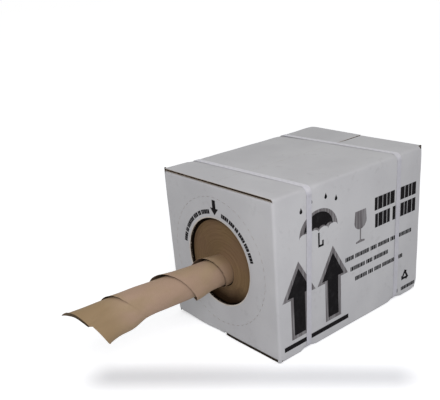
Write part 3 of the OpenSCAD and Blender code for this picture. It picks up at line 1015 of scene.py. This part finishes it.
def strap_loop():
    """Places round the strap's loop, as x, z and the direction that its face looks in."""
    path = []
    for corner in range(4):
        turn = np.pi / 2 * corner
        centre_x = STRAP_RUN_X * (1 if corner in (0, 3) else -1)
        centre_z = STRAP_MID_Z + STRAP_RUN_Z * (1 if corner in (0, 1) else -1)
        for angle in turn + np.linspace(0, np.pi / 2, 9):
            x = centre_x + STRAP_FOLD_R * np.cos(angle)
            z = centre_z + STRAP_FOLD_R * np.sin(angle)
            path.append(np.array([x, z, angle]))
    loop = []
    for here, there in zip(path, path[1:] + path[:1]):
        gap = np.hypot(there[0] - here[0], there[1] - here[1])
        count = max(1, int(gap / (6 * MM)))
        end = np.array([there[0], there[1], max(there[2], here[2])])
        loop += [here + (end - here) * (k / count) for k in range(count)]
    return np.array(loop).T


def build_strap(strap):
    """A closed loop pulled tight round the carton, with its welded overlap on the left wall."""
    x, z, angle = strap_loop()
    share, height = strap_section()
    length = np.cumsum(np.r_[0, np.hypot(np.diff(x), np.diff(z))])
    wander = 0.25 * MM * np.sin(length * 19) + 0.15 * MM * np.sin(length * 47)
    width = STRAP_W * (1 + 0.006 * np.sin(length * 31))
    y = strap_line(strap, x, z)[:, None] + wander[:, None] + share[None, :] * width[:, None]
    lift = height[None, :] * STRAP_T
    points = np.stack([
        x[:, None] + lift * np.cos(angle)[:, None], y, z[:, None] + lift * np.sin(angle)[:, None],
    ], -1)
    coords = np.stack([length[:, None] + 0 * y, share[None, :] * STRAP_W + 0 * y], -1)
    rows, columns = y.shape
    shell = Shell()
    faces = grid_faces(rows, columns, wrap_rows=True, wrap_columns=True)
    shell.add(points, flipped(faces), 0, coords)

    # The free end of the strap, welded over the loop
    weld_z = np.linspace(BOX_H / 2 - WELD_L / 2, BOX_H / 2 + WELD_L / 2, 77)
    ease = smooth(np.abs(weld_z - BOX_H / 2), WELD_L / 2 + 0.001 * MM, WELD_L / 2 - 2 * MM)
    pressed = 0.12 * MM * np.sin(weld_z * 2 * np.pi / (1.6 * MM)) ** 2
    pressed = pressed * (np.abs(weld_z - BOX_H / 2) < WELD_L / 4)
    thick = np.maximum(STRAP_T * (0.35 + 0.6 * ease) - pressed, 0.1 * MM)
    y = strap_line(strap, -BOX_W / 2, weld_z)[:, None] + (share[None, :] * 0.985) * STRAP_W + 0.3 * MM
    x = -(STRAP_SIDE + STRAP_T * 0.98) - height[None, :] * thick[:, None]
    points = np.stack([x, y, weld_z[:, None] + 0 * y], -1)
    coords = np.stack([weld_z[:, None] + 0 * y, share[None, :] * STRAP_W + 0 * y], -1)
    faces = grid_faces(len(weld_z), columns, wrap_columns=True)
    last = (len(weld_z) - 1) * columns
    faces += [tuple(reversed(range(columns))), tuple(range(last, last + columns))]
    shell.add(points, faces, 0, coords)
    return shell


class NodeTree:
    """Short ways to add nodes to a material or to the world."""

    def __init__(self, owner):
        owner.use_nodes = True
        self.nodes = owner.node_tree.nodes
        self.links = owner.node_tree.links

    def put(self, value, socket):
        """Links or sets an input."""
        if isinstance(value, bpy.types.NodeSocket):
            self.links.new(value, socket)
        else:
            socket.default_value = value

    def add(self, kind, inputs=None, **settings):
        """Adds a node and gives its outputs. inputs go by name or number."""
        node = self.nodes.new("ShaderNode" + kind)
        for name, value in settings.items():
            setattr(node, name, value)
        for name, value in (inputs or {}).items():
            self.put(value, node.inputs[name])
        return node.outputs

    def math(self, kind, *values):
        return self.add("Math", dict(enumerate(values)), operation=kind)[0]

    def ranged(self, value, low, high, to_low=0.0, to_high=1.0):
        """A soft step from to_low to to_high while value goes from low to high."""
        inputs = {"Value": value, "From Min": low, "From Max": high, "To Min": to_low, "To Max": to_high}
        return self.add("MapRange", inputs, interpolation_type="SMOOTHSTEP")["Result"]


class Finish(NodeTree):
    """A procedural material."""

    def __init__(self, name, rough, specular):
        self.made = bpy.data.materials.new(name)
        super().__init__(self.made)
        self.shader = self.nodes["Principled BSDF"]
        self.shader.inputs["Roughness"].default_value = rough
        self.shader.inputs["Specular IOR Level"].default_value = specular
        self.place = self.add("TexCoord")["Object"]
        _, self.y, self.z = self.add("SeparateXYZ", {0: self.place})
        self.sheet = self.add("UVMap", uv_map="sheet")["UV"]

    def mapped(self, vector, scale=(1, 1, 1), turn=0.0):
        """The vector scaled, and turned in its plane by some degrees."""
        rotation = (0, 0, math.radians(turn))
        return self.add("Mapping", {"Vector": vector, "Scale": scale, "Rotation": rotation})["Vector"]

    def noise(self, scale, detail, rough, vector=None):
        inputs = {"Scale": scale, "Detail": detail, "Roughness": rough, "Vector": vector or self.place}
        return self.add("TexNoise", inputs)["Fac"]

    def wave(self, vector, length, direction="X", warp=0.0):
        """Bands of a real length, from 0 to 1 and back."""
        inputs = {"Scale": 1 / (length * 20), "Distortion": warp, "Vector": vector}
        return self.add("TexWave", inputs, bands_direction=direction)["Fac"]

    def mix(self, share, a, b):
        return self.add("Mix", {"Factor": share, 6: a, 7: b}, data_type="RGBA")[2]

    def veil(self, base, colour, value, low, high, least, most):
        """Base under a colour, whose share goes from least to most as value goes from low to high."""
        return self.mix(self.ranged(value, low, high, least, most), base, colour)

    def colour(self, value):
        self.put(value, self.shader.inputs["Base Color"])

    def bump(self, *heights):
        """Adds bumps one after another: pairs of a height from 0 to 1 and how many metres that is."""
        normal = None
        for height, distance in heights:
            inputs = {"Strength": 1.0, "Distance": distance, "Height": height}
            if normal:
                inputs["Normal"] = normal
            normal = self.add("Bump", inputs)["Normal"]
        self.put(normal, self.shader.inputs["Normal"])


def rgb(red, green, blue):
    return (red, green, blue, 1.0)


BOARD_LIGHT = rgb(0.545, 0.545, 0.552)
BOARD_SHADE = rgb(0.495, 0.494, 0.504)
INK_BLACK = rgb(0.010, 0.009, 0.010)
INK_GREY = rgb(0.140, 0.130, 0.134)
KRAFT_LIGHT = rgb(0.400, 0.290, 0.183)
KRAFT_SHADE = rgb(0.345, 0.244, 0.150)
KRAFT_PINK = rgb(0.395, 0.272, 0.194)
KRAFT_OLIVE = rgb(0.295, 0.203, 0.108)
ROOT_PAINTED_SHADE = rgb(0.172, 0.106, 0.050)
FIBRE_BROWN = rgb(0.130, 0.085, 0.050)
TORN_PALE = rgb(0.420, 0.350, 0.270)
FOOT_PAINTED_SHADE = rgb(0.020, 0.015, 0.010)


def board_colour(finish):
    """White top liner: cloudy, faintly striped by the flutes under it, with rubbed and scuffed patches."""
    cloud = finish.ranged(finish.noise(7, 4, 0.55), 0.35, 0.68)
    base = finish.mix(cloud, BOARD_LIGHT, BOARD_SHADE)
    flutes = finish.wave(finish.sheet, FLUTE, "X", 0.4)
    base = finish.veil(base, rgb(0.40, 0.40, 0.41), flutes, 0, 1, 0, 0.035)
    base = finish.veil(base, rgb(0.33, 0.33, 0.34), finish.noise(950, 3, 0.6), 0.35, 0.7, 0, 0.09)
    scuffs = finish.math("MULTIPLY", finish.noise(26, 6, 0.62), finish.noise(90, 4, 0.6))
    return finish.veil(base, rgb(0.33, 0.325, 0.33), scuffs, 0.30, 0.42, 0, 0.22)


def board_bump(finish):
    """The flutes show through the liner, which is fibrous and a little wavy."""
    flutes = finish.wave(finish.sheet, FLUTE, "X", 0.3)
    fibres = finish.noise(950, 4, 0.6)
    finish.bump((flutes, 0.05 * MM), (fibres, 0.03 * MM), (finish.noise(60, 5, 0.55), 0.12 * MM))


def board_finish():
    finish = Finish("white_board", 0.68, 0.28)
    finish.colour(board_colour(finish))
    board_bump(finish)
    return finish.made


def ink_finish(name, ink, streaks):
    """Ink on the liner: pinholes where the fibres took none, and fine upright streaks in the grey."""
    finish = Finish(name, 0.75, 0.04)
    base = board_colour(finish)
    missed = finish.ranged(finish.noise(1300, 2, 0.5), 0.70, 0.80, 0, 0.25)
    patchy = finish.ranged(finish.noise(70, 4, 0.6), 0.45, 0.80, 0, 0.02)
    bare_share = finish.math("MAXIMUM", missed, patchy)
    if streaks:
        hatch = finish.noise(240, 2, 0.5, finish.mapped(finish.sheet, scale=(1, 0.05, 1)))
        bare_share = finish.math("MAXIMUM", bare_share, finish.ranged(hatch, 0.42, 0.66, 0, 0.30))
    finish.colour(finish.mix(bare_share, ink, base))
    board_bump(finish)
    return finish.made


def brown_finish(name, light, shade, torn=0.0):
    """Unbleached liner and flutes: long fibres and specks, pale where torn, and darkened by painted shade
    close to the floor.
    """
    finish = Finish(name, 0.85, 0.2)
    fibres = finish.noise(700, 4, 0.65, finish.mapped(finish.sheet, scale=(1, 0.15, 1)))
    base = finish.mix(finish.ranged(fibres, 0.3, 0.7), light, shade)
    base = finish.veil(base, FIBRE_BROWN, finish.noise(60, 5, 0.6), 0.4, 0.7, 0, 0.3)
    base = finish.veil(base, TORN_PALE, finish.noise(300, 2, 0.6), 0.56, 0.64, 0, torn)
    # Painted shade: near-black close to the floor, where the bottom slits lie in shadow
    finish.colour(finish.veil(base, FOOT_PAINTED_SHADE, finish.z, 4.5 * MM, 6.5 * MM, 0.8, 0))
    finish.bump((fibres, 0.08 * MM))
    return finish.made


def kraft_finish(name, shade):
    """Drawn-out kraft: cloudy colour, fine cross ribs, stray fibres and soft cockle, with painted shade
    darkening it at the root. shade is painted shade that darkens it all, for the sheet's under side.
    """
    finish = Finish(name, 0.66, 0.25)
    cloud = finish.ranged(finish.noise(16, 4, 0.6), 0.35, 0.68)
    base = finish.mix(cloud, KRAFT_LIGHT, KRAFT_SHADE)
    pink_cloud = finish.noise(24, 2, 0.5, finish.mapped(finish.place, scale=(1.3, 0.7, 1)))
    behind_tip = finish.ranged(finish.y, TIP_COLOUR_END, PINK_FULL)
    pink = finish.math("MULTIPLY", finish.ranged(pink_cloud, 0.36, 0.60), behind_tip)
    base = finish.mix(pink, base, KRAFT_PINK)
    fibre_lines = finish.noise(1500, 3, 0.6, finish.mapped(finish.sheet, scale=(0.12, 1, 1)))
    base = finish.veil(base, rgb(0.27, 0.185, 0.112), fibre_lines, 0.40, 0.72, 0, 0.28)
    base = finish.veil(base, rgb(0.50, 0.38, 0.26), finish.noise(1100, 2, 0.5), 0.68, 0.76, 0, 0.4)
    base = finish.veil(base, KRAFT_OLIVE, finish.y, OLIVE_GONE, TIP_COLOUR_END, 0, 0.85)
    # Painted shade: darker towards the root, where the sheet goes into the carton's hole
    base = finish.veil(base, ROOT_PAINTED_SHADE, finish.y, ROOT_SHADE_START, ROOT_SHADE_FULL, 0, 0.75)
    # Painted shade: shade darkens the whole sheet, for the under side's copy
    finish.colour(finish.mix(shade, base, rgb(0.02, 0.013, 0.008)))
    ribs = finish.wave(finish.sheet, 1.1 * MM, "Y", 0.6)
    finish.bump((ribs, 0.015 * MM), (fibre_lines, 0.03 * MM), (finish.noise(55, 4, 0.55), 0.5 * MM))
    return finish.made


def roll_end_finish():
    """The roll's end: hundreds of paper edges, seen as fine rings of lighter and darker brown, with painted
    shade darkening it downward and in the slipped-back outer turns.
    """
    finish = Finish("roll_end", 0.85, 0.04)
    around, out, _ = finish.add("SeparateXYZ", {0: finish.sheet})
    rings = finish.add("CombineXYZ", {0: out, 1: finish.math("MULTIPLY", around, 0.012)})[0]
    fine = finish.noise(3600, 2, 0.7, rings)
    broad = finish.noise(260, 3, 0.6, rings)
    base = finish.mix(finish.ranged(broad, 0.3, 0.7), rgb(0.210, 0.138, 0.070), rgb(0.180, 0.116, 0.059))
    base = finish.veil(base, rgb(0.110, 0.068, 0.038), fine, 0.35, 0.75, 0, 0.30)
    base = finish.veil(base, rgb(0.175, 0.105, 0.066), finish.noise(18, 3, 0.5), 0.4, 0.65, 0, 0.5)
    # Painted shade: darker towards the bottom of the roll's end
    height = finish.math("ADD", finish.z, finish.math("MULTIPLY", finish.noise(30, 3, 0.5), 0.03))
    base = finish.veil(base, rgb(0.016, 0.007, 0.003), height, END_SHADE_START_Z, END_SHADE_FULL_Z, 0, 0.94)
    # Painted shade: near-black in the slipped-back outer turns, where the front wall shades them
    recess_shade_share = finish.ranged(finish.y, RECESS_SHADE_START, RECESS_SHADE_FULL, 0, 0.93)
    front_end = finish.ranged(finish.y, -120 * MM, -50 * MM, 1, 0)
    recess_painted_shade = finish.math("MULTIPLY", recess_shade_share, front_end)
    finish.colour(finish.mix(recess_painted_shade, base, rgb(0.010, 0.006, 0.004)))
    finish.bump((fine, 0.12 * MM), (broad, 0.3 * MM))
    return finish.made


def strap_finish():
    """Polypropylene strapping: milky and smooth, embossed with small diamonds, with painted shade in the
    emboss's grooves and a painted highlight on top.
    """
    finish = Finish("strapping", 0.48, 0.25)
    finish.shader.inputs["Subsurface Weight"].default_value = 0.15
    finish.shader.inputs["Subsurface Radius"].default_value = (0.002, 0.002, 0.0025)
    slants = [finish.mapped(finish.sheet, turn=turn) for turn in (45, -45)]
    emboss = finish.math("MULTIPLY", *(finish.wave(slant, 1.5 * MM) for slant in slants))
    cloud = finish.ranged(finish.noise(45, 3, 0.5), 0.35, 0.65)
    base = finish.mix(cloud, rgb(0.535, 0.530, 0.567), rgb(0.503, 0.499, 0.537))
    # Painted highlight: lighter on top of the carton, where the light falls
    base = finish.veil(base, rgb(0.640, 0.635, 0.665), finish.z, BOX_H - 14 * MM, BOX_H - 2 * MM, 0, 0.9)
    # Painted shade: darker in the grooves of the embossing
    finish.colour(finish.veil(base, rgb(0.40, 0.398, 0.43), emboss, 0, 0.5, 0.16, 0))
    finish.bump((emboss, 0.12 * MM), (finish.noise(90, 2, 0.5), 0.1 * MM))
    return finish.made


def dress():
    """Builds every piece, sets it on the root body and lets it stand for its CAD node."""
    white = board_finish()
    inner = brown_finish("inner_liner", rgb(0.43, 0.32, 0.21), rgb(0.36, 0.26, 0.165))
    cut = brown_finish("cut_liner", rgb(0.50, 0.42, 0.33), rgb(0.40, 0.32, 0.24))
    # The flutes' near-black brown is painted shade of the groove between the liners; the pale specks are torn
    # fibres
    flutes = brown_finish("flutes", rgb(0.040, 0.026, 0.017), rgb(0.024, 0.015, 0.010), 0.7)
    # The pressed lip's cream, lighter than the white board, is partly the pressed liner and partly a painted
    # highlight
    lip = brown_finish("pressed_lip_highlight", rgb(0.68, 0.63, 0.57), rgb(0.58, 0.53, 0.47))
    black = ink_finish("ink_black", INK_BLACK, False)
    grey = ink_finish("ink_grey", INK_GREY, True)
    kraft = kraft_finish("kraft_paper", 0.0)
    # A darker copy of the kraft: painted shade for the sheet's under side
    kraft_under_painted_shade = kraft_finish("kraft_under_painted_shade", 0.6)
    roll_end = roll_end_finish()
    strapping = strap_finish()

    carton = build_carton().build("carton_board", (white, inner, cut, flutes, lip, black, grey), settle_board)
    body = build_wound_body().build("wound_paper", (kraft, roll_end), sharp=60)
    drawn = build_drawn_paper().build("drawn_paper", (kraft, kraft_under_painted_shade), weld=1e-7, sharp=50)
    dressed = [
        (carton, "carton", "white_board"),
        (body, "paper_roll", "kraft_paper"),
        (drawn, "paper_roll", "kraft_paper"),
    ]
    for strap in STRAPS:
        band = build_strap(strap).build(strap + "_band", (strapping,), weld=1e-7)
        dressed.append((band, strap, "strapping"))
    for piece, node, slot in dressed:
        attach(piece, "root")
        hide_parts(node)


def add_floor():
    """A wide white floor that keeps the object's shadow, and a soft grey band of painted shadow in front of
    it.
    """
    mesh = bpy.data.meshes.new("floor")
    corners = [(x * FLOOR_HALF, y * FLOOR_HALF, 0) for x, y in ((-1, -1), (1, -1), (1, 1), (-1, 1))]
    mesh.from_pydata(corners, [], [(0, 1, 2, 3)])
    floor = bpy.data.objects.new("floor", mesh)
    bpy.context.scene.collection.objects.link(floor)
    made = bpy.data.materials.new("floor")
    tree = NodeTree(made)
    tree.nodes.clear()
    place = tree.add("TexCoord")["Object"]
    fades = []
    for way, (full, gone) in ((SHADE_ALONG, SHADE_LENGTH), (SHADE_ACROSS, SHADE_WIDTH)):
        run = tree.add("VectorMath", {0: place, 1: way}, operation="DOT_PRODUCT")["Value"]
        from_middle = tree.math("SUBTRACT", run, Vector(way).dot(Vector(SHADE_MIDDLE)))
        fades.append(tree.ranged(tree.math("ABSOLUTE", from_middle), full, gone, 1, 0))
    # Painted shadow: the floor is lifted less inside the band
    level = tree.math("MULTIPLY_ADD", tree.math("MULTIPLY", *fades), -SHADE_DEPTH, FLOOR_LIFT)
    seen = tree.math("MULTIPLY", tree.add("LightPath")["Is Camera Ray"], level)
    matt = tree.add("BsdfDiffuse", {"Color": rgb(0.79, 0.80, 0.815)})[0]
    lift = tree.add("Emission", {"Color": rgb(1, 1, 1), "Strength": seen})[0]
    tree.add("OutputMaterial", {"Surface": tree.add("AddShader", {0: matt, 1: lift})[0]})
    mesh.materials.append(made)


def add_world():
    """An even pale surround, white where the camera, a gloss or clear plastic shows it."""
    world = bpy.data.worlds.new("surround")
    bpy.context.scene.world = world
    tree = NodeTree(world)
    path = tree.add("LightPath")
    shown = path["Is Camera Ray"]
    for name in ("Is Glossy Ray", "Is Transmission Ray"):
        shown = tree.math("MAXIMUM", shown, path[name])
    level = tree.add("MapRange", {"Value": shown, "To Min": WORLD_LIGHT, "To Max": 1.0})["Result"]
    back = tree.nodes["Background"]
    tree.put(rgb(1, 1, 1), back.inputs["Color"])
    tree.put(level, back.inputs["Strength"])


def add_lamp():
    """One round lamp, turned to the carton."""
    lamp = bpy.data.lights.new("key", "AREA")
    lamp.shape = "DISK"
    lamp.size = LAMP_SIZE
    lamp.energy = LAMP_POWER
    lamp.color = (1.0, 0.975, 1.02)
    made = bpy.data.objects.new("key", lamp)
    made.location = LAMP_PLACE
    made.rotation_euler = (Vector(LAMP_TARGET) - made.location).to_track_quat("-Z", "Y").to_euler()
    bpy.context.scene.collection.objects.link(made)


def add_camera():
    """The photograph's camera: its roll is about its own axis, and the picture's middle is shifted."""
    azimuth, elevation, roll = (math.radians(a) for a in (CAMERA_AZIMUTH, CAMERA_ELEVATION, CAMERA_ROLL))
    back = Vector((math.sin(azimuth) * math.cos(elevation), -math.cos(azimuth) * math.cos(elevation),
                   math.sin(elevation)))
    level = Vector((0, 0, 1)).cross(back).normalized()
    upright = back.cross(level)
    right = math.cos(roll) * level + math.sin(roll) * upright
    up = -math.sin(roll) * level + math.cos(roll) * upright
    place = Vector((0, 0, BOX_H / 2)) - CAMERA_ASIDE * right - CAMERA_RISE * up + CAMERA_AWAY * back
    camera = bpy.data.cameras.new("camera")
    camera.sensor_width = 36.0
    camera.lens = FOCAL_PIXELS * camera.sensor_width / PICTURE_W
    camera.shift_x = (PICTURE_W / 2 - AXIS_PIXEL_X) / PICTURE_W
    camera.shift_y = (AXIS_PIXEL_Y - PICTURE_H / 2) / PICTURE_W
    made = bpy.data.objects.new("camera", camera)
    turned = Matrix((right, up, back)).transposed().to_4x4()
    made.matrix_world = Matrix.Translation(place) @ turned
    bpy.context.scene.collection.objects.link(made)
    bpy.context.scene.camera = made


add_camera()
add_floor()
add_world()
dress()
add_lamp()
bpy.context.scene.view_settings.view_transform = "Standard"
